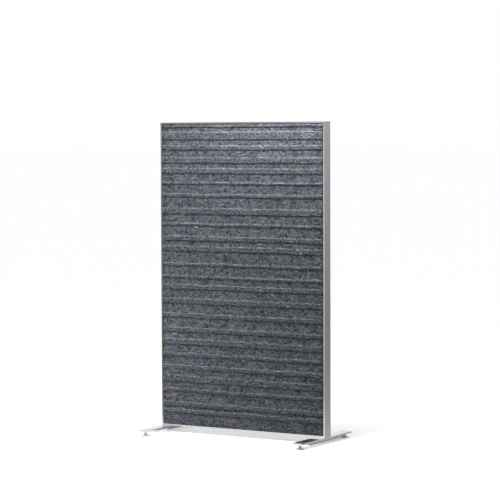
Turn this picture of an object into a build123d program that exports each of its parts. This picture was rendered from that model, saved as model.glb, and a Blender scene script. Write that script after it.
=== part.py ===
from build123d import *
import os

# A free-standing acoustic divider screen. Two ribbed felt panels lie in a mitred frame of edge extrusion,
# with a soft absorber core between them, on two cast feet with levelling glides.
#
# Millimetres. X runs along the screen's width and Y through its depth, with the front face at -Y. Z is up.
# The origin is on the floor, under the middle of the screen.

# Frame
FRAME_WIDTH = 800.0
FRAME_HEIGHT = 1300.0
FRAME_DEPTH = 50.0
LIP_WIDTH = 7.0             # bright edge that shows around each felt face
PROFILE_REACH = 30.0        # how far the extrusion reaches inward, behind the felt
PROFILE_WALL = 1.8
PROFILE_EDGE_RADIUS = 0.8
SLOT_WIDTH = 8.0            # slot in the chamber's inner wall, to reach the grub screws

# Felt panels
FELT_SHEET_THICKNESS = 8.0
FELT_RIB_HEIGHT = 3.0
FELT_RIB_SLOPE = 2.6        # height over which a rib's flank rises
FELT_RIB_RADIUS = 1.4
FELT_EDGE_GAP = 0.6         # shadow gap between the felt and the lip
TAPE_THICKNESS = 1.0
TAPE_WIDTH = 16.0

# Lower and upper edge of each pressed rib, as shares of the felt's height from its lower edge
RIB_EDGE_SHARES = (
    (0.038, 0.052),
    (0.061, 0.077),
    (0.109, 0.122),
    (0.142, 0.165),
    (0.186, 0.201),
    (0.229, 0.242),
    (0.268, 0.288),
    (0.310, 0.326),
    (0.358, 0.374),
    (0.405, 0.424),
    (0.453, 0.470),
    (0.489, 0.500),
    (0.531, 0.542),
    (0.579, 0.598),
    (0.614, 0.631),
    (0.663, 0.674),
    (0.702, 0.724),
    (0.758, 0.771),
    (0.800, 0.810),
    (0.836, 0.855),
    (0.870, 0.891),
    (0.914, 0.930),
    (0.947, 0.975),
    (0.987, 0.998),
)

# Absorber core
CORE_SIDE_GAP = 1.0
CORE_TOP_GAP = 2.0

# Corner blocks and their grub screws
BLOCK_ARM = 85.0            # from the frame's outer corner to the end of an arm
BLOCK_GAP = 0.2             # between the block and the chamber's walls
BLOCK_CORNER_CHAMFER = 1.5
POCKET_START = 42.0         # from the frame's outer corner to the cast pocket in an arm
POCKET_RIM = 4.0
POCKET_DEPTH = 4.0
GRUB_RADIUS = 3.0
GRUB_LENGTH = 20.0
GRUB_SOCKET_ACROSS = 3.0
GRUB_SOCKET_DEPTH = 3.5
GRUB_FIRST = 50.0           # from the frame's outer corner to the nearer grub screw
GRUB_PITCH = 24.0
THREAD_GAP = 0.05           # around a screw in its own tapped hole

# Feet
FOOT_LENGTH = 420.0
FOOT_WIDTH = 50.0
FOOT_PLATE_THICKNESS = 7.0
FOOT_CORNER_RADIUS = 3.0
FOOT_EDGE_CHAMFER = 0.6
KEEL_DEPTH = 11.0
KEEL_TOP_WIDTH = 40.0
KEEL_TOP_LENGTH = 300.0
KEEL_SIDE_TAPER = 4.0       # how far each long side leans in, from the plate to the keel's bottom
KEEL_END_TAPER = 25.0       # how far each end leans in
KEEL_CORNER_RADIUS = 6.0
KEEL_EDGE_RADIUS = 1.5

# Foot bolts
BOLT_RADIUS = 4.0
BOLT_LENGTH = 30.0
BOLT_HEAD_RADIUS = 6.5
BOLT_HEAD_HEIGHT = 8.0
BOLT_SOCKET_ACROSS = 6.0
BOLT_SOCKET_DEPTH = 4.0
BOLT_SPACING = 20.0
BOLT_HOLE_GAP = 0.3         # around the shank in the foot and in the rail
BOLT_SINK_GAP = 0.5         # around the head in its counterbore
BOLT_HEAD_SINK = 1.0        # from the keel's underside up to the head

# Levelling glides
GLIDE_INSET = 20.0          # from the foot's tip to the glide's axis
GLIDE_REACH = 11.0          # from the disc's top to the underside of the foot's plate
SOLE_RADIUS = 16.5
SOLE_THICKNESS = 1.5
DISC_RADIUS = 17.5
DISC_RIM_HEIGHT = 2.5
DISC_HUB_RADIUS = 8.0
DISC_HEIGHT = 6.5
DISC_EDGE_CHAMFER = 0.6
STUD_RADIUS = 4.0
STUD_TOP_DROP = 0.5         # from the plate's top down to the stud's end
STUD_END_CHAMFER = 0.8
STUD_HEX_ACROSS = 13.0
STUD_HEX_HEIGHT = 5.0
STUD_HEX_LIFT = 0.3         # from the disc's top to the hexagon
STUD_NECK_RADIUS = 3.5
STUD_BALL_RADIUS = 5.0      # flange at the stud's foot, held in the disc
STUD_BALL_HEIGHT = 2.0
SOCKET_FLOOR = 2.0          # disc metal under the flange
SOCKET_PLAY = 0.1           # above and below the flange
RUNNING_GAP = 0.08          # around whatever turns
NUT_ACROSS = 13.0
NUT_HEIGHT = 4.5
NUT_CHAMFER = 0.6

OVERRUN = 1.0               # how far a cutting body runs past what it cuts

# Sizes that follow from the ones above
REBATE_DEPTH = TAPE_THICKNESS + FELT_SHEET_THICKNESS + FELT_RIB_HEIGHT
CHAMBER_DEPTH = FRAME_DEPTH - 2 * REBATE_DEPTH
CORE_DEPTH = CHAMBER_DEPTH + 2 * TAPE_THICKNESS
FELT_WIDTH = FRAME_WIDTH - 2 * (LIP_WIDTH + FELT_EDGE_GAP)
FELT_HEIGHT = FRAME_HEIGHT - 2 * (LIP_WIDTH + FELT_EDGE_GAP)
GLIDE_TOP = SOLE_THICKNESS + DISC_HEIGHT
PLATE_UNDERSIDE = GLIDE_TOP + GLIDE_REACH
FRAME_BOTTOM = PLATE_UNDERSIDE + FOOT_PLATE_THICKNESS
FRAME_TOP = FRAME_BOTTOM + FRAME_HEIGHT
KEEL_BOTTOM = PLATE_UNDERSIDE - KEEL_DEPTH
BOLT_HEAD_BOTTOM = KEEL_BOTTOM + BOLT_HEAD_SINK
BOLT_HEAD_TOP = BOLT_HEAD_BOTTOM + BOLT_HEAD_HEIGHT
FOOT_X = (FRAME_WIDTH - FOOT_WIDTH) / 2
GLIDE_Y = FOOT_LENGTH / 2 - GLIDE_INSET

SIDES = {"left": -1, "right": 1}
ENDS = {"front": -1, "rear": 1}


def edge_profile():
    # Section of the extrusion: its X is the screen's depth, its Y points inward from the outer face.
    low = (Align.CENTER, Align.MIN)
    face = Rectangle(FRAME_DEPTH, LIP_WIDTH, align=low)
    chamber = Rectangle(CHAMBER_DEPTH, PROFILE_REACH, align=low)
    outline = face + chamber
    hollow = offset(outline, -PROFILE_WALL, kind=Kind.INTERSECTION)
    slot = Pos(0, PROFILE_REACH - PROFILE_WALL) * Rectangle(
        SLOT_WIDTH, 2 * PROFILE_WALL, align=(Align.CENTER, Align.CENTER)
    )
    rims = outline.vertices().filter_by(lambda v: abs(v.X) > CHAMBER_DEPTH / 2 + PROFILE_WALL)
    return fillet(rims, PROFILE_EDGE_RADIUS) - hollow - slot


def mitred_bar(length):
    # One frame member along X, centred, with its outer face on Z = 0 and both ends cut at 45 degrees.
    section = Plane.YZ.offset(-length / 2) * edge_profile()
    bar = extrude(section, length)
    trapezoid = make_face(
        Polyline(
            (-length / 2, 0),
            (length / 2, 0),
            (length / 2 - PROFILE_REACH, PROFILE_REACH),
            (-length / 2 + PROFILE_REACH, PROFILE_REACH),
            close=True,
        )
    )
    return bar & extrude(Plane.XZ * trapezoid, FRAME_DEPTH, both=True)


def upright(side):
    bar = mitred_bar(FRAME_HEIGHT)
    x = side * FRAME_WIDTH / 2
    return Location((x, 0, FRAME_BOTTOM + FRAME_HEIGHT / 2), (0, -side * 90, 0)) * bar


def top_rail():
    return Location((0, 0, FRAME_TOP), (180, 0, 0)) * mitred_bar(FRAME_WIDTH)


def bolt_places():
    return [side * FOOT_X + step * BOLT_SPACING / 2 for side in SIDES.values() for step in (-1, 1)]


def bottom_rail():
    rail = Pos(0, 0, FRAME_BOTTOM) * mitred_bar(FRAME_WIDTH)
    hole = Cylinder(BOLT_RADIUS + BOLT_HOLE_GAP, 2 * PROFILE_WALL + OVERRUN)
    for x in bolt_places():
        rail -= Pos(x, 0, FRAME_BOTTOM) * hole
    return rail


def felt_panel():
    # The front panel. Its ribs are pressed in, so sheet and ribs are one piece of felt.
    sheet = FELT_SHEET_THICKNESS
    crest = sheet + FELT_RIB_HEIGHT
    outline = [(0, 0), (sheet, 0)]
    for low_share, high_share in RIB_EDGE_SHARES:
        low = low_share * FELT_HEIGHT
        high = high_share * FELT_HEIGHT
        outline += [(sheet, low), (crest, low + FELT_RIB_SLOPE), (crest, high - FELT_RIB_SLOPE), (sheet, high)]
    outline += [(sheet, FELT_HEIGHT), (0, FELT_HEIGHT)]
    section = make_face(Polyline(*outline, close=True))
    crests = section.vertices().filter_by(lambda v: v.X > sheet)
    section = fillet(crests, FELT_RIB_RADIUS)
    back = CHAMBER_DEPTH / 2 + TAPE_THICKNESS
    base = FRAME_BOTTOM + LIP_WIDTH + FELT_EDGE_GAP
    stand = Plane(origin=(FELT_WIDTH / 2, -back, base), x_dir=(0, -1, 0), z_dir=(-1, 0, 0))
    return extrude(stand * section, FELT_WIDTH)


def panel_tapes():
    # Four strips on the frame's front shoulder, between the extrusion and the felt's back.
    y = -(CHAMBER_DEPTH + TAPE_THICKNESS) / 2
    inset = (LIP_WIDTH + PROFILE_REACH) / 2
    long_side = FRAME_HEIGHT - 2 * PROFILE_REACH
    short_side = FRAME_WIDTH - 2 * PROFILE_REACH
    strips = []
    for way in (-1, 1):
        x = way * (FRAME_WIDTH / 2 - inset)
        z = FRAME_BOTTOM + FRAME_HEIGHT / 2 + way * (FRAME_HEIGHT / 2 - inset)
        strips.append(Pos(x, y, FRAME_BOTTOM + FRAME_HEIGHT / 2) * Box(TAPE_WIDTH, TAPE_THICKNESS, long_side))
        strips.append(Pos(0, y, z) * Box(short_side, TAPE_THICKNESS, TAPE_WIDTH))
    return strips


def absorber_core():
    # Soft slab that stands on the bottom rail and fills the space between the two felt panels.
    width = FRAME_WIDTH - 2 * (PROFILE_REACH + CORE_SIDE_GAP)
    height = FRAME_HEIGHT - 2 * PROFILE_REACH - CORE_TOP_GAP
    slab = Box(width, CORE_DEPTH, height, align=(Align.CENTER, Align.CENTER, Align.MIN))
    return Pos(0, 0, FRAME_BOTTOM + PROFILE_REACH) * slab


def frame_corners():
    # One location for each outer corner of the frame, turned so that +X and +Z run along the two members.
    left, right = -FRAME_WIDTH / 2, FRAME_WIDTH / 2
    return {
        "bottom_left": Location((left, 0, FRAME_BOTTOM), (0, 0, 0)),
        "bottom_right": Location((right, 0, FRAME_BOTTOM), (0, -90, 0)),
        "top_right": Location((right, 0, FRAME_TOP), (0, 180, 0)),
        "top_left": Location((left, 0, FRAME_TOP), (0, 90, 0)),
    }


def grub_places():
    # Axis of each grub screw in a corner block, pointing inward from the extrusion's outer web.
    places = []
    for number in range(2):
        along = GRUB_FIRST + number * GRUB_PITCH
        places.append(Location((along, 0, PROFILE_WALL), (0, 0, 0)))
        places.append(Location((PROFILE_WALL, 0, along), (0, 90, 0)))
    return places


def corner_block():
    # Cast angle that fills the chamber of both members at a corner, lightened by a pocket in each side.
    near = PROFILE_WALL + BLOCK_GAP
    far = PROFILE_REACH - PROFILE_WALL - BLOCK_GAP
    outline = Polyline(
        (near, near), (BLOCK_ARM, near), (BLOCK_ARM, far), (far, far), (far, BLOCK_ARM), (near, BLOCK_ARM), close=True
    )
    section = make_face(outline)
    outer_corners = section.vertices().filter_by(lambda v: min(v.X, v.Y) < far - BLOCK_GAP)
    section = chamfer(outer_corners, BLOCK_CORNER_CHAMFER)
    depth = CHAMBER_DEPTH - 2 * (PROFILE_WALL + BLOCK_GAP)
    block = extrude(Plane.XZ * section, depth / 2, both=True)
    pocket_length = BLOCK_ARM - POCKET_RIM - POCKET_START
    pocket_width = far - near - 2 * POCKET_RIM
    pocket = Rectangle(pocket_length, pocket_width)
    along = POCKET_START + pocket_length / 2
    across = (near + far) / 2
    for way in (-1, 1):
        floor = Plane.XZ.offset(way * (depth / 2 - POCKET_DEPTH))
        block -= extrude(floor * Pos(along, across) * pocket, way * (POCKET_DEPTH + OVERRUN))
        block -= extrude(floor * Location((across, along), 90) * pocket, way * (POCKET_DEPTH + OVERRUN))
    hole = Cylinder(GRUB_RADIUS + THREAD_GAP, PROFILE_REACH, align=(Align.CENTER, Align.CENTER, Align.MIN))
    for place in grub_places():
        block -= place * hole
    return block


def corner_blocks():
    # The two lower blocks also take the foot bolts, from below.
    blocks = []
    tapped = Cylinder(
        BOLT_RADIUS + THREAD_GAP, 2 * PROFILE_REACH, align=(Align.CENTER, Align.CENTER, Align.CENTER)
    )
    for name, corner in frame_corners().items():
        block = corner * corner_block()
        if name.startswith("bottom"):
            for x in bolt_places():
                block -= Pos(x, 0, FRAME_BOTTOM) * tapped
        blocks.append(block)
    return blocks


def grub_screw():
    screw = Cylinder(GRUB_RADIUS, GRUB_LENGTH, align=(Align.CENTER, Align.CENTER, Align.MIN))
    socket = RegularPolygon(GRUB_SOCKET_ACROSS / 2, 6, major_radius=False)
    return screw - extrude(Pos(0, 0, GRUB_LENGTH - GRUB_SOCKET_DEPTH) * socket, GRUB_SOCKET_DEPTH + OVERRUN)


def grub_screws():
    screw = grub_screw()
    return [corner * place * screw for corner in frame_corners().values() for place in grub_places()]


def foot(side):
    # Cast foot: a flat plate with a boat-shaped keel under its middle.
    plate_outline = RectangleRounded(FOOT_WIDTH, FOOT_LENGTH, FOOT_CORNER_RADIUS)
    plate = extrude(Pos(0, 0, PLATE_UNDERSIDE) * plate_outline, FOOT_PLATE_THICKNESS)
    plate = chamfer(plate.edges().group_by(Axis.Z)[-1], FOOT_EDGE_CHAMFER)
    top = RectangleRounded(KEEL_TOP_WIDTH, KEEL_TOP_LENGTH, KEEL_CORNER_RADIUS)
    bottom = RectangleRounded(
        KEEL_TOP_WIDTH - 2 * KEEL_SIDE_TAPER, KEEL_TOP_LENGTH - 2 * KEEL_END_TAPER, KEEL_CORNER_RADIUS
    )
    keel = loft([Pos(0, 0, KEEL_BOTTOM) * bottom, Pos(0, 0, PLATE_UNDERSIDE) * top])
    keel = fillet(keel.edges().group_by(Axis.Z)[0], KEEL_EDGE_RADIUS)
    body = Pos(side * FOOT_X, 0, 0) * (plate + keel)
    up = (Align.CENTER, Align.CENTER, Align.MIN)
    shank = Cylinder(BOLT_RADIUS + BOLT_HOLE_GAP, FRAME_BOTTOM, align=up)
    sink_height = BOLT_HEAD_TOP - KEEL_BOTTOM + OVERRUN
    sink = Cylinder(BOLT_HEAD_RADIUS + BOLT_SINK_GAP, sink_height, align=up)
    for x in bolt_places():
        body -= Pos(x, 0, KEEL_BOTTOM - OVERRUN) * (shank + sink)
    tapped = Cylinder(STUD_RADIUS + RUNNING_GAP, FRAME_BOTTOM, align=up)
    for end in ENDS.values():
        body -= Pos(side * FOOT_X, end * GLIDE_Y, GLIDE_TOP) * tapped
    return body


def foot_bolt():
    # Socket head screw that points up, with the underside of its head on Z = 0.
    up = (Align.CENTER, Align.CENTER, Align.MIN)
    shank = Cylinder(BOLT_RADIUS, BOLT_LENGTH, align=up)
    head = Cylinder(BOLT_HEAD_RADIUS, BOLT_HEAD_HEIGHT, align=(Align.CENTER, Align.CENTER, Align.MAX))
    socket = RegularPolygon(BOLT_SOCKET_ACROSS / 2, 6, major_radius=False)
    cut = extrude(Pos(0, 0, -BOLT_HEAD_HEIGHT - OVERRUN) * socket, BOLT_SOCKET_DEPTH + OVERRUN)
    return shank + head - cut


def foot_bolts():
    bolt = foot_bolt()
    return [Pos(x, 0, BOLT_HEAD_TOP) * bolt for x in bolt_places()]


def turned(points):
    # Solid of revolution about Z from points given as (radius, height).
    return revolve(Plane.XZ * make_face(Polyline(*points, close=True)), Axis.Z)


def glide_sole():
    return Cylinder(SOLE_RADIUS, SOLE_THICKNESS, align=(Align.CENTER, Align.CENTER, Align.MIN))


def glide_disc():
    # Low dished disc, swaged over the flange of the stud so that the stud turns in it.
    low = SOLE_THICKNESS
    rim_top = low + DISC_RIM_HEIGHT
    cave_floor = low + SOCKET_FLOOR
    cave_top = cave_floor + STUD_BALL_HEIGHT + 2 * SOCKET_PLAY
    cave = STUD_BALL_RADIUS + RUNNING_GAP
    mouth = STUD_NECK_RADIUS + RUNNING_GAP
    disc = turned(
        [
            (0, low),
            (DISC_RADIUS, low),
            (DISC_RADIUS, rim_top),
            (DISC_HUB_RADIUS, GLIDE_TOP),
            (mouth, GLIDE_TOP),
            (mouth, cave_top),
            (cave, cave_top),
            (cave, cave_floor),
            (0, cave_floor),
        ]
    )
    rim = disc.edges().filter_by(GeomType.CIRCLE).filter_by(lambda e: e.radius > DISC_HUB_RADIUS)
    return chamfer(rim.group_by(Axis.Z)[-1], DISC_EDGE_CHAMFER)


def glide_stud():
    # Threaded stud, shown plain, with spanner flats just above the disc and a flange inside it.
    ball_bottom = SOLE_THICKNESS + SOCKET_FLOOR + SOCKET_PLAY
    ball_top = ball_bottom + STUD_BALL_HEIGHT
    hex_bottom = GLIDE_TOP + STUD_HEX_LIFT
    top = FRAME_BOTTOM - STUD_TOP_DROP
    shaft = turned(
        [
            (0, ball_bottom),
            (STUD_BALL_RADIUS, ball_bottom),
            (STUD_BALL_RADIUS, ball_top),
            (STUD_NECK_RADIUS, ball_top),
            (STUD_NECK_RADIUS, hex_bottom),
            (STUD_RADIUS, hex_bottom),
            (STUD_RADIUS, top - STUD_END_CHAMFER),
            (STUD_RADIUS - STUD_END_CHAMFER, top),
            (0, top),
        ]
    )
    flats = RegularPolygon(STUD_HEX_ACROSS / 2, 6, major_radius=False)
    return shaft + extrude(Pos(0, 0, hex_bottom) * flats, STUD_HEX_HEIGHT)


def lock_nut():
    # Thin nut that is done up against the underside of the foot's plate, with its lower corners turned off.
    flats = RegularPolygon(NUT_ACROSS / 2, 6, major_radius=False)
    nut = extrude(flats, NUT_HEIGHT)
    corner_radius = NUT_ACROSS / 3 ** 0.5
    trim = Cylinder(corner_radius, NUT_HEIGHT, align=(Align.CENTER, Align.CENTER, Align.MIN))
    trim = chamfer(trim.edges().filter_by(GeomType.CIRCLE).group_by(Axis.Z)[0], NUT_CHAMFER)
    bore = Cylinder(STUD_RADIUS + RUNNING_GAP, 2 * NUT_HEIGHT + OVERRUN)
    return (nut & trim) - bore


def lock_nuts():
    nut = lock_nut()
    low = PLATE_UNDERSIDE - NUT_HEIGHT
    return [
        Pos(side * FOOT_X, end * GLIDE_Y, low) * nut for side in SIDES.values() for end in ENDS.values()
    ]


def behind(shapes):
    # The same pieces on the rear face: the screen looks alike from both sides.
    return [Rot(0, 0, 180) * shape for shape in shapes]


nodes = {
    "left_upright": [upright(SIDES["left"])],
    "right_upright": [upright(SIDES["right"])],
    "top_rail": [top_rail()],
    "bottom_rail": [bottom_rail()],
    "corner_blocks": corner_blocks(),
    "corner_grub_screws": grub_screws(),
    "front_felt_panel": [felt_panel()],
    "rear_felt_panel": behind([felt_panel()]),
    "front_panel_tapes": panel_tapes(),
    "rear_panel_tapes": behind(panel_tapes()),
    "absorber_core": [absorber_core()],
    "left_foot": [foot(SIDES["left"])],
    "right_foot": [foot(SIDES["right"])],
    "foot_bolts": foot_bolts(),
    "glide_lock_nuts": lock_nuts(),
}

for end_name, end in ENDS.items():
    for side_name, side in SIDES.items():
        place = Pos(side * FOOT_X, end * GLIDE_Y, 0)
        nodes[f"glide_sole_{end_name}_{side_name}"] = [place * glide_sole()]
        nodes[f"glide_disc_{end_name}_{side_name}"] = [place * glide_disc()]
        nodes[f"glide_stud_{end_name}_{side_name}"] = [place * glide_stud()]

os.makedirs("parts", exist_ok=True)
for name, shapes in nodes.items():
    solids = [solid for shape in shapes for solid in shape.solids()]
    node = solids[0] if len(solids) == 1 else Compound(children=solids)
    export_step(node, f"parts/{name}.step")
    print(name, len(solids), "solids")
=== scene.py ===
# %% [markdown]
# # Acoustic divider screen
#
# The real object is a free-standing screen for an open office: two ribbed panels of recycled felt in a slim
# aluminium frame, on two flat feet with levelling glides. The construction model gives every hard piece at its real
# size. This script dresses it. It presses detailed felt faces, cuts the threads, gives each piece its finish, and
# then lights the whole as the photograph was lit.
#
# Everything is in metres, in the frame of the construction model: X along the screen's width, Y through its depth
# with the photographed face at -Y, and Z up from the floor.

# %% Load the construction model
import math
from itertools import product

import bmesh
import bpy
from mathutils import Matrix, Vector


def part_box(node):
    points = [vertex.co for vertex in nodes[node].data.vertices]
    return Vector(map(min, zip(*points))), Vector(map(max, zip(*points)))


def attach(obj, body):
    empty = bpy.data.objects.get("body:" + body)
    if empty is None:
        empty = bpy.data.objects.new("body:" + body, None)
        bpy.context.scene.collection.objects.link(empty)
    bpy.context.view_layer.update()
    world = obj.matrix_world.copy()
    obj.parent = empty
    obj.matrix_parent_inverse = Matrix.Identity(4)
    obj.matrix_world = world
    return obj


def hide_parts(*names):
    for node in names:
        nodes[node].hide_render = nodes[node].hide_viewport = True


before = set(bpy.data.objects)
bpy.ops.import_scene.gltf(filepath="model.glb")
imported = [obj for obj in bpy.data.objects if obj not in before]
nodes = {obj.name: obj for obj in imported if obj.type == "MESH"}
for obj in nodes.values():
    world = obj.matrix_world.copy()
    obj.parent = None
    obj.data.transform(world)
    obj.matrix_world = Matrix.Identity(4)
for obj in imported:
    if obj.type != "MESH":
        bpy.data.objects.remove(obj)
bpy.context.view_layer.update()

# %% [markdown]
# ## Camera
#
# The photograph was taken with a long lens from about eight metres away, a little above the top of the screen and
# well to its right. A short lens close by would give the same outline size, but it would make the near side of the
# frame too wide. So the camera stands at the fitted distance, and the lens follows from the fitted focal length in
# pixels of the 500 pixel picture. The picture leans by a fifth of a degree, which is a turn about the view axis.

# %% Camera
PHOTO_SIZE = 500.0
FOCAL_PIXELS = 2051.0
CAMERA_PLACE = Vector((4.435, -7.370, 1.267))
CAMERA_AZIMUTH = math.radians(30.87)
CAMERA_PITCH = math.radians(3.18)
CAMERA_ROLL = math.radians(-0.20)
SENSOR_WIDTH = 36.0


def new_object(name, data):
    thing = bpy.data.objects.new(name, data)
    bpy.context.scene.collection.objects.link(thing)
    return thing


def looking(direction):
    return direction.to_track_quat("-Z", "Y")


def make_camera():
    data = bpy.data.cameras.new("photo_camera")
    data.sensor_width = SENSOR_WIDTH
    data.lens = FOCAL_PIXELS / PHOTO_SIZE * SENSOR_WIDTH
    camera = new_object("photo_camera", data)
    flat = math.cos(CAMERA_PITCH)
    forward = Vector((-math.sin(CAMERA_AZIMUTH) * flat, math.cos(CAMERA_AZIMUTH) * flat, -math.sin(CAMERA_PITCH)))
    turn = looking(forward).to_matrix().to_4x4()
    camera.matrix_world = Matrix.Translation(CAMERA_PLACE) @ turn @ Matrix.Rotation(CAMERA_ROLL, 4, "Z")
    bpy.context.scene.camera = camera
    return camera


camera = make_camera()
bpy.context.scene.view_settings.view_transform = "Standard"
print("lens:", round(camera.data.lens, 1), "mm")

# %% [markdown]
# ## Building node trees
#
# Materials and Geometry Nodes are both trees of nodes joined by links. Written out, every sum would need a node and
# two links. So a signal stands for what a node gives out. Arithmetic on signals adds the Math nodes, and a formula
# in this script reads as it would on paper.

# %% Signals
class Signal:
    # What a node gives out: its first output in use, or the one named in square brackets.
    def __init__(self, tree, node, label=None):
        live = [socket for socket in node.outputs if socket.enabled]
        self.tree = tree
        self.node = node
        self.output = node.outputs[label] if label else live[0] if live else None

    def __getitem__(self, label):
        return Signal(self.tree, self.node, label)

    def __add__(self, other):
        return self.math("ADD", other)

    def __sub__(self, other):
        return self.math("SUBTRACT", other)

    def __rsub__(self, other):
        return add(self.tree, "ShaderNodeMath", other, self, operation="SUBTRACT")

    def __mul__(self, other):
        return self.math("MULTIPLY", other)

    def __truediv__(self, other):
        return self.math("DIVIDE", other)

    def __gt__(self, other):
        return self.math("GREATER_THAN", other)

    def __abs__(self):
        return self.math("ABSOLUTE")

    def math(self, operation, *others):
        return add(self.tree, "ShaderNodeMath", self, *others, operation=operation)

    def clamped(self):
        self.node.use_clamp = True
        return self

    def ranged(self, low, high, to_low=0.0, to_high=1.0, smooth=False):
        # Low to high becomes to_low to to_high, and what lies beyond is held there.
        kind = "SMOOTHSTEP" if smooth else "LINEAR"
        return add(self.tree, "ShaderNodeMapRange", self, low, high, to_low, to_high, interpolation_type=kind)

    def split(self):
        parts = add(self.tree, "ShaderNodeSeparateXYZ", self)
        return [parts[axis] for axis in "XYZ"]


# %% Adding a node
def give(tree, socket, value):
    if isinstance(value, Signal):
        tree.links.new(value.output, socket)
    else:
        socket.default_value = value


def add(tree, kind, *values, **settings):
    # A setting with a capital goes to the input of that name, and any other to a property of the node. Values
    # without a name go to the inputs in use, in their order.
    node = tree.nodes.new(kind)
    for key, value in settings.items():
        if key[0].isupper():
            give(tree, node.inputs[key.replace("_", " ")], value)
        else:
            setattr(node, key, value)
    for socket, value in zip([socket for socket in node.inputs if socket.enabled], values):
        give(tree, socket, value)
    return Signal(tree, node)


# %% [markdown]
# ### Groups and materials
#
# A group is a tree that other trees use as one node, with inputs of its own. Each finish is made the same way: an
# empty tree, the place on the piece in its own coordinates, and at the end one Principled shader.

# %% Groups
SOCKET_TYPES = {float: "Float", int: "Int", tuple: "Vector"}


def new_group(kind, name, inputs, outputs):
    # An input is given by its default value, or by the name of its type where it has none.
    tree = bpy.data.node_groups.new(name, kind)
    for label, given in inputs.items():
        socket_type = given if isinstance(given, str) else SOCKET_TYPES[type(given)]
        socket = tree.interface.new_socket(name=label, in_out="INPUT", socket_type=f"NodeSocket{socket_type}")
        if socket_type != given:
            socket.default_value = given
    for label, socket_type in outputs.items():
        tree.interface.new_socket(name=label, in_out="OUTPUT", socket_type=f"NodeSocket{socket_type}")
    return tree, add(tree, "NodeGroupInput")


def shader_group(name, inputs, *outputs):
    return new_group("ShaderNodeTree", name, inputs, {label: "Float" for label in outputs})


# %% Materials
def emptied(owner):
    owner.use_nodes = True
    owner.node_tree.nodes.clear()
    return owner.node_tree


def new_material(name):
    material = bpy.data.materials.new(name)
    tree = emptied(material)
    return material, tree, add(tree, "ShaderNodeTexCoord")["Object"]


def principled(tree, **looks):
    shader = add(tree, "ShaderNodeBsdfPrincipled", **looks)
    add(tree, "ShaderNodeOutputMaterial", Surface=shader)


def placed(tree, group, place, **values):
    return add(tree, "ShaderNodeGroup", node_tree=group, Vector=place, **values)


# %% Nodes in frequent use
def vector_math(tree, operation, *values, **settings):
    return add(tree, "ShaderNodeVectorMath", *values, operation=operation, **settings)


def noise(tree, place, scale, detail, roughness=0.5, **settings):
    return add(tree, "ShaderNodeTexNoise", Vector=place, Scale=scale, Detail=detail, Roughness=roughness, **settings)


def mixed(tree, share, first, second):
    return add(tree, "ShaderNodeMix", share, first, second, data_type="FLOAT")


def blended(tree, share, first, second, blend_type="MIX"):
    return add(tree, "ShaderNodeMix", share, first, second, data_type="RGBA", blend_type=blend_type)


def bump(tree, height, strength, distance, **settings):
    return add(tree, "ShaderNodeBump", Height=height, Strength=strength, Distance=distance, **settings)


# %% [markdown]
# ## What the metal sees
#
# The picture is a studio shot on white, but the aluminium is not white, because metal shows what stands in front of
# it. Its greys tell what that was. The end of the frame is light at the top, darkest a third of the way up and
# lighter again near the floor, so the floor behind the screen was dark at five metres and lighter nearer and
# farther. A bright pool of light lay right in front of the screen, and the floor under it was in shade.
#
# One group gives that room as a share of white for any place on the floor. The floor and the surroundings both use
# it, and only for glossy rays, so the camera still sees plain white.

# %% Studio group
DARKEST_DISTANCE = 5.0
DARKEST_SHARE = 0.23
NEAR_GAIN = 0.10            # for each factor of e nearer than that distance
FAR_GAIN = 0.055            # and for each factor of e farther
FRONT_SHARE = 0.50          # of that in front of the screen, outside the pool
FRONT_REACH = (-0.32, -0.12)
POOL_SHIFT = 0.095          # of the pool's middle, to the left
POOL_SIDE = (0.455, 0.49)   # half width of the pool, where it starts to fade and where it ends
POOL_BACK = (-0.06, 0.02)
POOL_FRONT = (-0.90, -1.30)
UNDER_SIDE = (0.385, 0.42)  # half width of the shade under the screen
UNDER_BACK = (0.30, 0.60)
UNDER_SHARE = 0.50


def fading(value, full, gone):
    return value.ranged(gone, full, smooth=True)


def studio_group():
    tree, given = shader_group("studio_room", {"Place": "Vector"}, "Share")
    distance = vector_math(tree, "LENGTH", given["Place"])
    octave = (distance / DARKEST_DISTANCE).math("LOGARITHM", math.e)
    share = octave.math("MINIMUM", 0.0) * -NEAR_GAIN + octave.math("MAXIMUM", 0.0) * FAR_GAIN + DARKEST_SHARE
    x, y, _ = given["Place"].split()
    front = fading(y, *FRONT_REACH) * (FRONT_SHARE - 1.0)
    under = fading(abs(x), *UNDER_SIDE) * fading(y, *UNDER_BACK) * (UNDER_SHARE - 1.0)
    pool = fading(abs(x + POOL_SHIFT), *POOL_SIDE) * fading(y, *POOL_BACK) * fading(y, *POOL_FRONT)
    room = share * (front + under + 1.0)
    add(tree, "NodeGroupOutput", Share=room.math("MAXIMUM", pool))
    return tree


studio_room = studio_group()
print("group:", studio_room.name, len(studio_room.nodes), "nodes")

# %% [markdown]
# ## Floor
#
# The floor is a plain pale plane that keeps the screen's soft shadow. Part of its white is a weak glow for the
# camera alone, because a studio floor is lit from every side and its shadows stay pale. It throws back less light
# than it shows the camera. A white floor would light the felt from below, and the photographed felt is darkest there.

# %% Floor
FLOOR_SIZE = 400.0
FLOOR_COLOUR = (0.45, 0.45, 0.45, 1.0)
FLOOR_SEEN_COLOUR = (0.95, 0.95, 0.95, 1.0)
FLOOR_GLOW = 0.43


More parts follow.
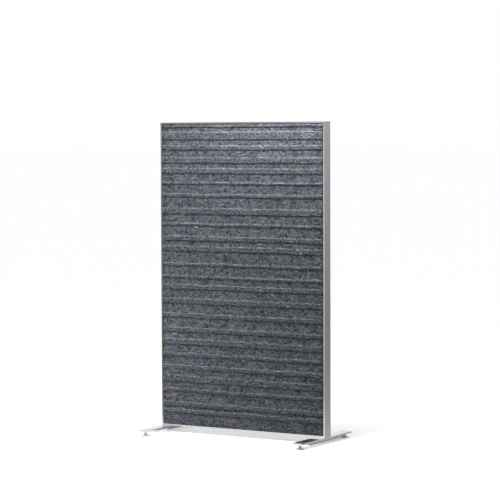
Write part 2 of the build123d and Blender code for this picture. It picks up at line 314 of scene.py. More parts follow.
def floor_material():
    material, tree, place = new_material("studio_floor")
    path = add(tree, "ShaderNodeLightPath")
    plain = add(tree, "ShaderNodeBsdfDiffuse", Color=FLOOR_COLOUR)
    seen = add(tree, "ShaderNodeBsdfDiffuse", Color=FLOOR_SEEN_COLOUR)
    glow = add(tree, "ShaderNodeEmission", Strength=FLOOR_GLOW)
    room = add(tree, "ShaderNodeGroup", node_tree=studio_room, Place=place)
    # For glossy rays the floor glows with the studio room: a painted reflection, with its pool of light and its shade
    # under the screen.
    mirrored = add(tree, "ShaderNodeEmission", Color=room)
    for_camera = add(tree, "ShaderNodeAddShader", seen, glow)
    camera_or_plain = add(tree, "ShaderNodeMixShader", path["Is Camera Ray"], plain, for_camera)
    metal_or_other = add(tree, "ShaderNodeMixShader", path["Is Glossy Ray"], camera_or_plain, mirrored)
    add(tree, "ShaderNodeOutputMaterial", Surface=metal_or_other)
    return material


def make_floor():
    half = FLOOR_SIZE / 2
    mesh = bpy.data.meshes.new("floor")
    mesh.from_pydata([(-half, -half, 0), (half, -half, 0), (half, half, 0), (-half, half, 0)], [], [(0, 1, 2, 3)])
    mesh.materials.append(floor_material())
    floor = new_object("floor", mesh)
    return floor


floor = make_floor()
print("floor:", FLOOR_SIZE, "m square")

# %% [markdown]
# ## Lamps
#
# The felt shows where the lamps were. It is brightest at the top middle and the upper edge of each rib is bright
# there, so a small softbox hung just above the front. Low down the left side stays light and the right side gets
# dark, so another stood low and close by at the left. A wide overhead light stands for the ceiling. No picture
# shows the back, so a softbox hung above it brings out the rear ribs. It spares the floor, because it would wash
# out the shade under the panel that the photograph shows.
#
# The front of the right upright is bright and that of the left one is dark, although they face the same way. So a
# dim white wall stood in front, and ended where the right one still mirrors it, and where the left one and most of
# the top rail look past it. Here the metal sees that wall alone, and the felt sees the other lamps.

# %% Kinds of lamp
def lamp(name, kind, place, aim, power, **settings):
    data = bpy.data.lights.new(name, kind)
    data.energy = power
    for key, value in settings.items():
        setattr(data, key, value)
    light = new_object(name, data)
    light.location = place
    light.rotation_euler = looking(Vector(aim) - Vector(place)).to_euler()
    light.visible_glossy = False
    return light


def softbox(name, place, aim, width, height, power):
    light = lamp(name, "AREA", place, aim, power, shape="RECTANGLE", size=width, size_y=height)
    light.visible_camera = False
    return light


def light_wall(place, width, height, radiance):
    # An area lamp sends out pi times its radiance from each square metre.
    aim = (place[0], 0.0, place[2])
    wall = softbox("light_wall", place, aim, width, height, math.pi * radiance * width * height)
    wall.visible_glossy = True
    wall.visible_diffuse = False


def spare_the_floor(light):
    # Light linking: what is in the collection and marked so gets none of this lamp's light.
    spared = bpy.data.collections.new("spared_by_" + light.name)
    spared.objects.link(floor)
    spared.collection_objects[0].light_linking.link_state = "EXCLUDE"
    light.light_linking.receiver_collection = spared


# %% Lamps
softbox("top_softbox", place=(0.29, -0.43, 1.92), aim=(0.10, 0.0, 1.28), width=0.30, height=0.20, power=19.5)
softbox("side_softbox", place=(-1.05, -0.80, 0.42), aim=(-0.36, 0.0, 0.40), width=0.6, height=0.6, power=10.5)
rear = softbox("rear_softbox", place=(0.20, 0.80, 2.05), aim=(0.0, 0.0, 0.50), width=1.0, height=0.4, power=34.0)
spare_the_floor(rear)
light_wall(place=(0.155, -1.70, 0.665), width=1.90, height=1.33, radiance=0.46)
lamp("ceiling_light", "SUN", place=(-0.3, -0.55, 5.0), aim=(0, 0, 0), power=1.74, angle=math.radians(38.0))
print("lamps:", [light.name for light in bpy.data.lights])

# %% [markdown]
# ## Surroundings
#
# Beyond the floor the camera sees plain white. The metal sees the same room as in the floor, which turns into a
# pale wall above the horizon. All else gets only a weak even light, so the lamps alone make the shadows.

# %% Surroundings
AMBIENT = 0.04
HORIZON_DISTANCE = 100.0
ABOVE_SHARE = 0.88          # what metal sees above the horizon
ABOVE_RISE = 0.10           # height of the direction vector at which it gets there


def make_surroundings():
    world = bpy.data.worlds.new("studio")
    tree = emptied(world)
    direction = add(tree, "ShaderNodeTexCoord")["Generated"]
    far_place = vector_math(tree, "SCALE", direction, Scale=HORIZON_DISTANCE)
    room = add(tree, "ShaderNodeGroup", node_tree=studio_room, Place=far_place)
    rise = direction.split()[2].ranged(0.0, ABOVE_RISE, smooth=True)
    path = add(tree, "ShaderNodeLightPath")
    glossy = mixed(tree, path["Is Glossy Ray"], AMBIENT, mixed(tree, rise, room, ABOVE_SHARE))
    seen = mixed(tree, path["Is Camera Ray"], glossy, 1.0)
    background = add(tree, "ShaderNodeBackground", Color=(1, 1, 1, 1), Strength=seen)
    add(tree, "ShaderNodeOutputWorld", Surface=background)
    bpy.context.scene.world = world


make_surroundings()
print("ambient:", AMBIENT)

# %% [markdown]
# ## Shader groups
#
# Four effects turn up in more than one finish. Drawn lines run along metal that was pulled or ground one way.
# Rubbed edges are where hands and packing have polished a corner. Settled dust lies on what faces up. Melange is
# the salt and pepper of mixed fibres. Each is a group with named inputs, built once and placed in each material
# with its own values. A group gives out colours, masks and heights, and the shader itself stays in the material.

# %% Drawn lines, rubbed edges and settled dust
EDGE_COSINES = (0.995, 0.90)  # between the rounded and the true normal: where wear starts and where it is full
WORN_PATCHES = (0.42, 0.60)   # levels of the noise between which a patch turns from unworn to worn
FACING_UP = (0.5, 0.95)       # height of the normal at which dust starts to lie and where it all stays
DUST_SPECKS = (0.45, 0.75)
EVEN = (1.0, 1.0, 1.0)      # not stretched along any axis


def drawn_lines_group():
    inputs = {"Vector": "Vector", "Stretch": EVEN, "Fineness": 1000.0}
    tree, given = shader_group("drawn_lines", inputs, "Lines", "Blotches")
    stretched = vector_math(tree, "MULTIPLY", given["Vector"], given["Stretch"])
    lines = noise(tree, stretched, given["Fineness"], detail=3.0, roughness=0.6)
    add(tree, "NodeGroupOutput", Lines=lines, Blotches=noise(tree, given["Vector"], scale=7.0, detail=4.0))
    return tree


def rubbed_edges_group():
    # The rounded normal of the Bevel node differs from the true one only near an edge.
    inputs = {"Vector": "Vector", "Radius": 0.0008, "Patchiness": 60.0}
    tree, given = shader_group("rubbed_edges", inputs, "Mask")
    rounded = add(tree, "ShaderNodeBevel", samples=4, Radius=given["Radius"])
    match = vector_math(tree, "DOT_PRODUCT", rounded, add(tree, "ShaderNodeNewGeometry")["True Normal"])
    patches = noise(tree, given["Vector"], given["Patchiness"], detail=3.0)
    add(tree, "NodeGroupOutput", Mask=match.ranged(*EDGE_COSINES) * patches.ranged(*WORN_PATCHES))
    return tree


def settled_dust_group():
    tree, given = shader_group("settled_dust", {"Vector": "Vector", "Amount": 0.1}, "Mask")
    upward = add(tree, "ShaderNodeNewGeometry")["True Normal"].split()[2]
    specks = noise(tree, given["Vector"], scale=260.0, detail=5.0, roughness=0.7)
    add(tree, "NodeGroupOutput", Mask=upward.ranged(*FACING_UP) * specks.ranged(*DUST_SPECKS) * given["Amount"])
    return tree


drawn_lines = drawn_lines_group()
rubbed_edges = rubbed_edges_group()
settled_dust = settled_dust_group()
print("groups:", drawn_lines.name, rubbed_edges.name, settled_dust.name)

# %% [markdown]
# ### Melange
#
# Seen close, needled felt has no clean specks: single hairs cross each of them and blur its edge. So the group first
# makes hairs, which are three layers of noise drawn out along lines that cross, and then lets them push the specks
# aside.

# %% Melange
HAIR_LENGTHS = 0.10         # share of its width's frequency that a hair has along itself
HAIR_LEANS = (0.42, -0.30, 1.25)
HAIR_FLOOR = 0.40           # level of the crossed layers at which a hair starts
HAIR_GAIN = 3.2
NOISE_MIDDLE = 0.5          # what a noise gives on average
STREAK_FINENESS = 0.6       # share of the grain's
SPECK_GAIN = 3.0


def hairs(tree, vector, fineness, lean):
    # Noise drawn out along a line that leans from the X axis, in the plane of the face, and bends a little.
    turned = add(tree, "ShaderNodeVectorRotate", rotation_type="Y_AXIS", Vector=vector, Angle=lean)
    drawn = vector_math(tree, "MULTIPLY", turned, (HAIR_LENGTHS, 1.0, 1.0))
    return noise(tree, drawn, fineness, detail=3.0, roughness=0.6, Distortion=0.5)


def melange_group():
    # Grain is specks, streaks are the same fibres combed out along the stretch, and clouds are broad.
    inputs = {"Vector": "Vector", "Stretch": EVEN, "Grain": 150.0, "Streaks": 0.0, "Clouds": 50.0, "Contrast": 1.0,
              "Hair Fineness": 1300.0, "Fray": 0.0}
    tree, given = shader_group("melange", inputs, "Grain", "Clouds", "Hairs")
    layers = [hairs(tree, given["Vector"], given["Hair Fineness"], lean) for lean in HAIR_LEANS]
    push_x, push_z = [(layer - NOISE_MIDDLE) * given["Fray"] for layer in (layers[2], layers[0])]
    frayed = vector_math(tree, "ADD", given["Vector"], add(tree, "ShaderNodeCombineXYZ", X=push_x, Z=push_z))
    stretched = vector_math(tree, "MULTIPLY", frayed, given["Stretch"])
    combed = vector_math(tree, "MULTIPLY", stretched, given["Stretch"])
    grain = noise(tree, stretched, given["Grain"], detail=5.0, roughness=0.68)
    streaks = noise(tree, combed, given["Grain"] * STREAK_FINENESS, detail=4.0, roughness=0.6)
    clouds = noise(tree, stretched, given["Clouds"], detail=3.0, roughness=0.6)
    strokes = (streaks - NOISE_MIDDLE) * SPECK_GAIN * given["Streaks"]
    specks = (grain - NOISE_MIDDLE) * SPECK_GAIN + strokes
    crossed = layers[0].math("MAXIMUM", layers[1]).math("MAXIMUM", layers[2])
    add(tree, "NodeGroupOutput", Grain=(specks * given["Contrast"] + NOISE_MIDDLE).clamped(), Clouds=clouds,
        Hairs=((crossed - HAIR_FLOOR) * HAIR_GAIN).clamped())
    return tree


melange = melange_group()
print("group:", melange.name, len(melange.nodes), "nodes")

# %% [markdown]
# ## Metals
#
# The frame is drawn aluminium with a satin anodised skin: faint lines along each member, and a soft sheen. The feet
# are polished, so they mirror the felt. The corner blocks are cast, and the small parts are zinc or chrome. One
# function makes each of them from its colour, its roughness and the direction of its lines.

# %% Metal function
DUST_COLOUR = (0.62, 0.60, 0.57, 1)
WORN_GAIN = 1.15            # a rubbed edge is so much brighter
LINE_LEVELS = (0.3, 0.7)    # of the noise, from the smoothest line to the roughest
LINE_DEPTH = 0.0002


def metal(name, colour, roughness, spread, stretch, fineness, relief, tint=0.05, wear=0.3, dust=0.0):
    material, tree, place = new_material(name)
    drawn = placed(tree, drawn_lines, place, Stretch=stretch, Fineness=fineness)
    edges = placed(tree, rubbed_edges, place)
    dusty = placed(tree, settled_dust, place, Amount=dust)
    darker = (*(c * (1 - tint) for c in colour), 1)
    polished = (*(min(1, c * WORN_GAIN) for c in colour), 1)
    shade = blended(tree, drawn["Blotches"], darker, (*colour, 1))
    worn = blended(tree, edges * wear, shade, polished)
    rough = drawn["Lines"].ranged(*LINE_LEVELS, roughness - spread, roughness + spread)
    principled(tree, Base_Color=blended(tree, dusty, worn, DUST_COLOUR), Roughness=rough + dusty,
               Metallic=1.0 - dusty, Normal=bump(tree, drawn["Lines"], relief, LINE_DEPTH))
    return material


def dress(material, *names):
    for name in names:
        nodes[name].data.materials.clear()
        nodes[name].data.materials.append(material)


# %% Metal finishes
ANODISED = {"colour": (0.76, 0.76, 0.77), "roughness": 0.22, "spread": 0.03, "fineness": 1400.0, "relief": 0.08,
            "tint": 0.03}
SHINY = {"roughness": 0.09, "spread": 0.03}
CORNERS = [f"{end}_{side}" for end in ("front", "rear") for side in ("left", "right")]

upright_metal = metal("anodised_aluminium_upright", stretch=(1, 1, 0.004), **ANODISED)
rail_metal = metal("anodised_aluminium_rail", stretch=(0.004, 1, 1), **ANODISED)
foot_metal = metal("polished_aluminium", (0.82, 0.82, 0.83), stretch=(1, 0.02, 1), fineness=900.0, relief=0.08,
                   dust=0.05, **SHINY)
cast_metal = metal("cast_aluminium", (0.52, 0.52, 0.53), roughness=0.45, spread=0.1, stretch=EVEN, fineness=700.0,
                   relief=0.8, tint=0.2)
zinc_metal = metal("zinc_plated_steel", (0.70, 0.71, 0.73), roughness=0.30, spread=0.08, stretch=EVEN,
                   fineness=1500.0, relief=0.2, tint=0.15)
chrome_metal = metal("chromed_steel", (0.86, 0.87, 0.89), stretch=EVEN, fineness=1200.0, relief=0.05, dust=0.04,
                     **SHINY)

dress(upright_metal, "left_upright", "right_upright")
dress(rail_metal, "top_rail", "bottom_rail")
dress(foot_metal, "left_foot", "right_foot")
dress(cast_metal, "corner_blocks")
dress(zinc_metal, "corner_grub_screws", "foot_bolts", "glide_lock_nuts")
dress(chrome_metal, *(f"glide_disc_{corner}" for corner in CORNERS))
print("metals:", [m.name for m in (upright_metal, rail_metal, foot_metal, cast_metal, zinc_metal, chrome_metal)])

# %% [markdown]
# ## Plastic soles and hook tape
#
# The soles under the glides are moulded in dark plastic, a little scuffed from being pushed about. The tapes that
# hold the felt on are woven, with a field of tiny hooks. Cells of a Voronoi pattern, set close, give those hooks as
# rows of bumps, and the weave shows between them.

# %% Soles and tapes
SOLE_COLOUR = (0.035, 0.036, 0.038, 1)
SCUFFED_COLOUR = (0.12, 0.12, 0.12, 1)
SCUFF_LEVELS = (0.5, 0.8)
SOLE_ROUGHNESS = 0.42
SCUFF_ROUGHNESS = 0.3       # more where it is scuffed
TAPE_COLOUR = (0.012, 0.012, 0.013, 1)
HOOK_COLOUR = (0.06, 0.06, 0.065, 1)
HOOKS_A_METRE = 650.0
HOOK_EDGE_AND_TIP = (0.45, 0.1)  # distances from the middle of a cell
WEAVE_HEIGHT = 0.2          # share of a hook's


def sole_material():
    material, tree, place = new_material("sole_plastic")
    scuffs = noise(tree, place, scale=220.0, detail=5.0).ranged(*SCUFF_LEVELS, to_high=0.5)
    mask = scuffs.math("MAXIMUM", placed(tree, rubbed_edges, place))
    grain = noise(tree, place, scale=3000.0, detail=3.0)
    principled(tree, Base_Color=blended(tree, mask, SOLE_COLOUR, SCUFFED_COLOUR),
               Roughness=mask * SCUFF_ROUGHNESS + SOLE_ROUGHNESS,
               Normal=bump(tree, grain, strength=0.3, distance=0.0001))
    return material


def tape_material():
    material, tree, place = new_material("hook_tape")
    cells = add(tree, "ShaderNodeTexVoronoi", Vector=place, Scale=HOOKS_A_METRE, Randomness=0.35)
    hook = cells["Distance"].ranged(*HOOK_EDGE_AND_TIP)
    weave = add(tree, "ShaderNodeTexWave", Vector=place, Scale=400.0, Distortion=1.0)["Fac"]
    principled(tree, Base_Color=blended(tree, hook, TAPE_COLOUR, HOOK_COLOUR), Roughness=0.6,
               Normal=bump(tree, hook + weave * WEAVE_HEIGHT, strength=0.9, distance=0.0008))
    return material


dress(sole_material(), *(f"glide_sole_{corner}" for corner in CORNERS))
dress(tape_material(), "front_panel_tapes", "rear_panel_tapes")
print("soles and tapes done")

# %% [markdown]
# ## Felt faces
#
# The panels are needled from shredded textiles, and the ribs are pressed in while the felt is warm. A plain box with
# the ribs as bump would look flat at its edges and in low light. So the ribs are real relief. A blank sheet has
# close rows of points where the flanks of the ribs will come, and a Geometry Nodes tree lowers each point by its
# distance from the nearest rib. The ribs wander by a millimetre or two, the surface swells between them, and the
# felt rolls back at one side.
#
# The tree also writes two numbers on each point. One marks a painted highlight along the upper edge of a rib and the
# other a painted shadow just below its lower edge, for the material to use.

# %% Rows of points
RIB_EDGE_SHARES = (
    (0.038, 0.052), (0.061, 0.077), (0.109, 0.122), (0.142, 0.165), (0.186, 0.201), (0.229, 0.242),
    (0.268, 0.288), (0.310, 0.326), (0.358, 0.374), (0.405, 0.424), (0.453, 0.470), (0.489, 0.500),
    (0.531, 0.542), (0.579, 0.598), (0.614, 0.631), (0.663, 0.674), (0.702, 0.724), (0.758, 0.771),
    (0.800, 0.810), (0.836, 0.855), (0.870, 0.891), (0.914, 0.930), (0.947, 0.975), (0.987, 0.998),
)
ROW_STEP = 0.0011           # between rows of points near a rib's edge
ROW_REACH = 0.0066          # how far those rows run each side of the edge
ROW_WIDEST = 0.008


def spaced(marks, widest):
    # The marks, with even steps added wherever two are further apart than widest.
    rows = [marks[0]]
    for mark in marks[1:]:
        start = rows[-1]
        steps = max(1, math.ceil((mark - start) / widest))
        rows += [start + (mark - start) * step / steps for step in range(1, steps + 1)]
    return rows


def felt_rows(low, high):
    height = high - low
    reach = round(ROW_REACH / ROW_STEP)
    marks = set()
    for pair in RIB_EDGE_SHARES:
        for share in pair:
            middle = round(share * height / ROW_STEP)
            marks.update(range(middle - reach, middle + reach + 1))
    inside = sorted(mark * ROW_STEP for mark in marks if ROW_STEP < mark * ROW_STEP < height - ROW_STEP)
    return [low + z for z in spaced([0, *inside, height], ROW_WIDEST)]


print("ribs:", len(RIB_EDGE_SHARES))

# %% Felt blank
COLUMN_STEP = 0.0075


def closed_blank(mesh, name):
    # Turns a finished bmesh into an object whose faces all look outwards.
    bmesh.ops.recalc_face_normals(mesh, faces=mesh.faces)
    data = bpy.data.meshes.new(name)
    mesh.to_mesh(data)
    mesh.free()
    return new_object(name, data)


def felt_blank(node_name):
    # Closed slab as large as the panel's solid, with its face divided into rows and columns.
    low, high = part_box(node_name)
    face_y, back_y = (low.y, high.y) if low.y < 0 else (high.y, low.y)
    columns = round((high.x - low.x) / COLUMN_STEP)
    xs = [low.x + (high.x - low.x) * number / columns for number in range(columns + 1)]
    mesh = bmesh.new()
    grid = [[mesh.verts.new((x, face_y, z)) for x in xs] for z in felt_rows(low.z, high.z)]
    for lower, upper in zip(grid, grid[1:]):
        for left in range(columns):
            mesh.faces.new((lower[left], lower[left + 1], upper[left + 1], upper[left]))
    rim = grid[0][:-1] + [row[-1] for row in grid[:-1]] + grid[-1][:0:-1] + [row[0] for row in grid[:0:-1]]
    back = [mesh.verts.new((vertex.co.x, back_y, vertex.co.z)) for vertex in rim]
    for number, vertex in enumerate(rim):
        following = (number + 1) % len(rim)
        mesh.faces.new((rim[following], vertex, back[number], back[following]))
    mesh.faces.new(back[::-1])
    return closed_blank(mesh, f"{node_name}_blank")


def rib_places(node_name):
    # One loose point at the middle height of each rib, which carries half the rib's height.
    low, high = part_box(node_name)
    height = high.z - low.z
    data = bpy.data.meshes.new("rib_places")
    data.from_pydata([(0, 0, low.z + (a + b) / 2 * height) for a, b in RIB_EDGE_SHARES], [], [])
    half = data.attributes.new("half_height", "FLOAT", "POINT")
    half.data.foreach_set("value", [(b - a) / 2 * height for a, b in RIB_EDGE_SHARES])
    return new_object("rib_places", data)


# %% [markdown]
# ### Trees that make a piece
#
# Four trees shape pieces here, and all begin and end the same way. They take a mesh and a material, and give real
# mesh with the material on it. The result is then kept as a plain mesh, so each piece can be used without its tree.

# %% Tree helpers
def geometry_tree(name, inputs):
    inputs = {"Geometry": "Geometry", **inputs, "Material": "Material"}
    return new_group("GeometryNodeTree", name, inputs, {"Geometry": "Geometry"})


def close_tree(tree, geometry, given):
    real = add(tree, "GeometryNodeRealizeInstances", geometry)
    covered = add(tree, "GeometryNodeSetMaterial", Geometry=real, Material=given["Material"])
    add(tree, "NodeGroupOutput", Geometry=covered)


def position(tree):
    return add(tree, "GeometryNodeInputPosition")


def store(tree, geometry, name, value, domain="POINT"):
    return add(tree, "GeometryNodeStoreNamedAttribute", data_type="FLOAT", domain=domain, Geometry=geometry,
               Name=name, Value=value)


def stored(tree, name):
    return add(tree, "GeometryNodeInputNamedAttribute", data_type="FLOAT", Name=name)


def moved(tree, geometry, offset, **settings):
    return add(tree, "GeometryNodeSetPosition", Geometry=geometry, Offset=offset, **settings)


def grown(source, tree, name, **values):
    # Runs the tree on the source and keeps the result as a piece of its own. The source goes. A modifier's inputs
    # are reached by the identifier of each socket, which is looked up from its name.
    modifier = source.modifiers.new(tree.name, "NODES")
    modifier.node_group = tree
    for item in tree.interface.items_tree:
        key = item.name.replace(" ", "_")
        if item.item_type == "SOCKET" and item.in_out == "INPUT" and key in values:
            modifier[item.identifier] = values[key]
    depsgraph = bpy.context.evaluated_depsgraph_get()
    data = bpy.data.meshes.new_from_object(source.evaluated_get(depsgraph))
    data.name = name
    bpy.data.objects.remove(source)
    return new_object(name, data)


# %% [markdown]
# ### Pressing the ribs
#
# A heated plate presses the felt down between the ribs, and the felt springs back round at the plate's edges. The
# tree does the same with numbers: a point on a rib stays, one between two ribs goes down by the full height, and
# one near an edge goes down along a smooth slope.

# %% Parts of the press tree
def rolled(near, drop):
    # How far a point at this share of the roll's width is below the flat face.
    short = 1.0 - near
    return short * short * drop


def line_mark(height, at, width):
    # One on the line at that height, falling to nought over the width.
    return (1.0 - abs(height - at) / width).clamped()


def nearest_rib(tree, ribs, height):
    # Middle height and half height of the rib place nearest to a height.
    probe = add(tree, "ShaderNodeCombineXYZ", Z=height)
    nearest = add(tree, "GeometryNodeSampleNearest", domain="POINT", Geometry=ribs, Sample_Position=probe)
    middle, half = [
        add(tree, "GeometryNodeSampleIndex", data_type=data_type, Geometry=ribs, Value=value, Index=nearest)
        for data_type, value in (("FLOAT_VECTOR", position(tree)), ("FLOAT", stored(tree, "half_height")))
    ]
    return middle.split()[2], half


# %% Press tree
PRESS = {
    "Rib Places": "Object", "Rib Height": 0.003, "Rib Slope": 0.0042, "Wander": 0.0018, "Swell": 0.0007,
    "Edge Roll": 0.010,     # width over which the felt rolls back at its edges,
    "Side Drop": 0.0040,    # how far it rolls back at one side
    "Plain Drop": 0.0006,   # and at the other edges
    "Line Width": 0.0032,   # of the painted highlight and painted shadow along a rib's edges
    "Crest Y": -0.025, "Inward": 1.0, "Seed": 3.0,
}
EXTENT = {"Half Width": 0.39, "Low Edge": 0.0, "High Edge": 1.3}
WANDER_SCALE = 8.0
WANDER_GAIN = 4.0
SWELL_SCALE = 120.0
RIB_HIGHLIGHT_INSET = 0.001         # of the painted highlight's line from the rib's upper edge
# The painted shadow lies just below a rib's lower edge, on a wider line.
GROOVE_SHADOW_OUTSET = 0.0005
GROOVE_SHADOW_WIDENING = 1.5
ON_PLANE = 0.0001           # a point this near the plane of the crests is on the face


def press_tree():
    tree, given = geometry_tree("press_ribs", {**PRESS, **EXTENT})
    x, y, z = position(tree).split()
    wander, swell = [noise(tree, position(tree), scale, detail=3.0, noise_dimensions="4D", W=given["Seed"])
                     for scale in (WANDER_SCALE, SWELL_SCALE)]
    # The ribs wander up and down a little along their length.
    height = z + (wander - NOISE_MIDDLE) * WANDER_GAIN * given["Wander"]
    ribs = add(tree, "GeometryNodeObjectInfo", Object=given["Rib Places"])["Geometry"]
    middle, half = nearest_rib(tree, ribs, height)
    above = height - middle
    raised = abs(above).ranged(half, half - given["Rib Slope"], smooth=True)
    # The felt rolls back at its edges, most at the side that was cut last, and there its ribs run out.
    facing = x * given["Inward"]
    to_ends = (z - given["Low Edge"]).math("MINIMUM", given["High Edge"] - z)
    to_plain = (given["Half Width"] + facing).math("MINIMUM", to_ends)
    near = ((given["Half Width"] - facing) / given["Edge Roll"]).clamped()
    near_plain = (to_plain / given["Edge Roll"]).clamped()
    drop = rolled(near, given["Side Drop"]).math("MAXIMUM", rolled(near_plain, given["Plain Drop"]))
    # Depth below the crest: no rib, the swell of the needled surface, and the roll.
    depth = (1.0 - raised * near) * given["Rib Height"] + swell * given["Swell"] + drop
    # Only the face moves: its points are the ones on the plane of the crests.
    on_face = add(tree, "FunctionNodeCompare", data_type="FLOAT", operation="EQUAL", A=y, B=given["Crest Y"],
                  Epsilon=ON_PLANE)
    # The painted highlight on a rib's upper edge and the painted shadow under its lower edge are taken before the
    # points move, from the same wandering height.
    crest = line_mark(above, half - RIB_HIGHLIGHT_INSET, given["Line Width"])
    groove = line_mark(above, half * -1.0 - GROOVE_SHADOW_OUTSET, given["Line Width"] * GROOVE_SHADOW_WIDENING)
    marked = store(tree, store(tree, given["Geometry"], "crest", crest * near), "groove", groove)
    offset = add(tree, "ShaderNodeCombineXYZ", Y=depth * given["Inward"])
    close_tree(tree, moved(tree, marked, offset, Selection=on_face), given)
    return tree


press_ribs = press_tree()
print("tree:", press_ribs.name, len(press_ribs.nodes), "nodes")

# %% [markdown]
# ### Felt colour
#
# Seen close, the felt is many colours: slate, blue, teal, violet and brown threads, with a few white, red and orange
# ones. Seen from a few steps away it is a cool dark grey with pale flecks. So the colour is built in layers: broad
# clouds of hue, a salt and pepper that is longer than it is high, a painted highlight along the upper edge of each
# rib, and a painted shadow below its lower edge.

# %% Felt material
FELT_DARK = (0.012, 0.014, 0.017, 1)
FELT_LIGHT = (0.192, 0.209, 0.222, 1)
FELT_HUES = (
    (0.28, (1.04, 0.86, 0.82)),
    (0.39, (1.01, 0.91, 1.11)),
    (0.48, (0.96, 0.97, 1.00)),
    (0.57, (0.86, 0.95, 1.14)),
    (0.65, (0.86, 1.04, 0.92)),
    (0.74, (0.80, 1.02, 1.01)),
)
RIB_HIGHLIGHT_GAINS = (0.3, 1.0)    # of the painted highlight's brightness, which varies along the rib
RIB_HIGHLIGHT_BREAKS = (0.35, 0.6)  # levels of the noise between which it does
HAIR_SHARE = 1.2
# Share of the colour that the painted shadow under a rib takes away.
GROOVE_SHADOW_LOSS = 0.55


def ramp(tree, share, stops, interpolation="LINEAR"):
    colours = add(tree, "ShaderNodeValToRGB", Fac=share)
    band = colours.node.color_ramp
    band.interpolation = interpolation
    band.elements.remove(band.elements[1])
    band.elements[0].position = stops[0][0]
    band.elements[0].color = (*stops[0][1], 1)
    for spot, colour in stops[1:]:
        band.elements.new(spot).color = (*colour, 1)
    return colours


def multiplied(tree, colour, factor):
    return blended(tree, 1.0, colour, factor, "MULTIPLY")


def written(tree, name):
    # A number that a Geometry Nodes tree wrote on the piece.
    return add(tree, "ShaderNodeAttribute", attribute_type="GEOMETRY", attribute_name=name)["Fac"]


def felt_material():
    material, tree, place = new_material("recycled_felt")
    fibres = placed(tree, melange, place, Stretch=(0.75, 1.0, 1.0), Grain=270.0, Streaks=0.9, Clouds=60.0,
                    Contrast=1.55, Fray=0.016)
    grey = blended(tree, fibres["Grain"], FELT_DARK, FELT_LIGHT)
    tinted = multiplied(tree, grey, ramp(tree, fibres["Clouds"], FELT_HUES))
    # Painted light along the ribs: a painted highlight on each upper edge, broken along its length, and a painted
    # shadow under each lower edge.
    highlight_strength = noise(tree, place, scale=60.0, detail=2.0).ranged(*RIB_HIGHLIGHT_BREAKS, *RIB_HIGHLIGHT_GAINS)
    level = written(tree, "crest") * highlight_strength + written(tree, "groove") * -GROOVE_SHADOW_LOSS + 1.0
    fluffed = fibres["Hairs"] * HAIR_SHARE + (1 - HAIR_SHARE / 2)
    coarse = bump(tree, fibres["Grain"], strength=0.7, distance=0.0015)
    fine = bump(tree, fibres["Hairs"], strength=0.5, distance=0.0004, Normal=coarse)
    principled(tree, Base_Color=multiplied(tree, tinted, level * fluffed), Roughness=0.95, Sheen_Weight=0.12,
               Normal=fine)
    return material


felt = felt_material()
print("material:", felt.name)


# %% Press both faces
def felt_face(node_name, piece_name, seed):
    low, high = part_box(node_name)
    front = low.y < 0
    places = rib_places(node_name)
    piece = grown(felt_blank(node_name), press_ribs, piece_name, Rib_Places=places, Half_Width=high.x,
                  Low_Edge=low.z, High_Edge=high.z, Crest_Y=low.y if front else high.y,
                  Inward=1.0 if front else -1.0, Seed=seed, Material=felt)
    bpy.data.objects.remove(places)
    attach(piece, "screen")
    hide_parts(node_name)
    print(piece_name, len(piece.data.vertices), "points")
    return piece


front_felt = felt_face("front_felt_panel", "front_felt_face", 3.0)
rear_felt = felt_face("rear_felt_panel", "rear_felt_face", 8.0)

# %% [markdown]
# ### Loose threads
#
# The pale streaks in the picture are ends of thread that the needles left on top. They are too long for noise and
# too many to model one by one. So a second tree scatters them over the pressed face: a bent strand with three sides
# is placed on each point, turned mostly along the ribs, and given a number from which the material picks its
# colour. More of them lie on the upper edge of a rib, where they add to its painted highlight. The same tree with
# other values lays short scraps of the same threads, the few thick red and orange tufts, and the pale slubs, which
# are lumps in the yarn.

# %% Thread material
THREAD_COLOURS = (
    (0.00, (0.36, 0.38, 0.40)),
    (0.40, (0.26, 0.29, 0.32)),
    (0.58, (0.76, 0.77, 0.77)),
    (0.76, (0.12, 0.20, 0.30)),
    (0.83, (0.15, 0.28, 0.27)),
    (0.89, (0.24, 0.19, 0.28)),
    (0.94, (0.03, 0.03, 0.035)),
    (0.985, (0.26, 0.05, 0.04)),
    (0.994, (0.60, 0.16, 0.03)),
)
THREAD_SHADES = (0.65, 1.1)


def thread_material():
    material, tree, place = new_material("felt_threads")
    dyed = ramp(tree, written(tree, "tone"), THREAD_COLOURS, "CONSTANT")
    fluff = placed(tree, melange, place, Grain=1500.0)["Grain"]
    principled(tree, Base_Color=multiplied(tree, dyed, fluff.ranged(0.0, 1.0, *THREAD_SHADES)), Roughness=0.9,
               Normal=bump(tree, fluff, strength=0.5, distance=0.0002))
    return material


threads = thread_material()
print("material:", threads.name)

# %% Strand
THREAD_BOW = 0.13           # bend and wave, as shares of a thread's length
THREAD_WAVE = 0.05
THREAD_END = 0.3            # radius at its ends, as a share
THREAD_SIDES = 3


def strand(tree, given):
    # A bent line with thin ends, one metre long until it is scaled.
    line = add(tree, "GeometryNodeCurvePrimitiveLine", Start=(-0.5, 0, 0), End=(0.5, 0, 0))
    runs = add(tree, "GeometryNodeResampleCurve", Curve=line, Count=given["Points"])
    along = add(tree, "GeometryNodeSplineParameter")["Factor"]
    middle = along * (1.0 - along) * 4.0  # nought at the ends and one in the middle
    wave = (along * (2 * math.pi)).math("SINE")
    bow = add(tree, "ShaderNodeCombineXYZ", Y=middle * THREAD_BOW + wave * THREAD_WAVE)
    radius = (middle + THREAD_END).clamped()
    thin = add(tree, "GeometryNodeSetCurveRadius", Curve=moved(tree, runs, bow), Radius=radius)
    ring = add(tree, "GeometryNodeCurvePrimitiveCircle", Resolution=THREAD_SIDES, Radius=given["Slenderness"])
    return add(tree, "GeometryNodeCurveToMesh", Curve=thin, Profile_Curve=ring, Fill_Caps=True)


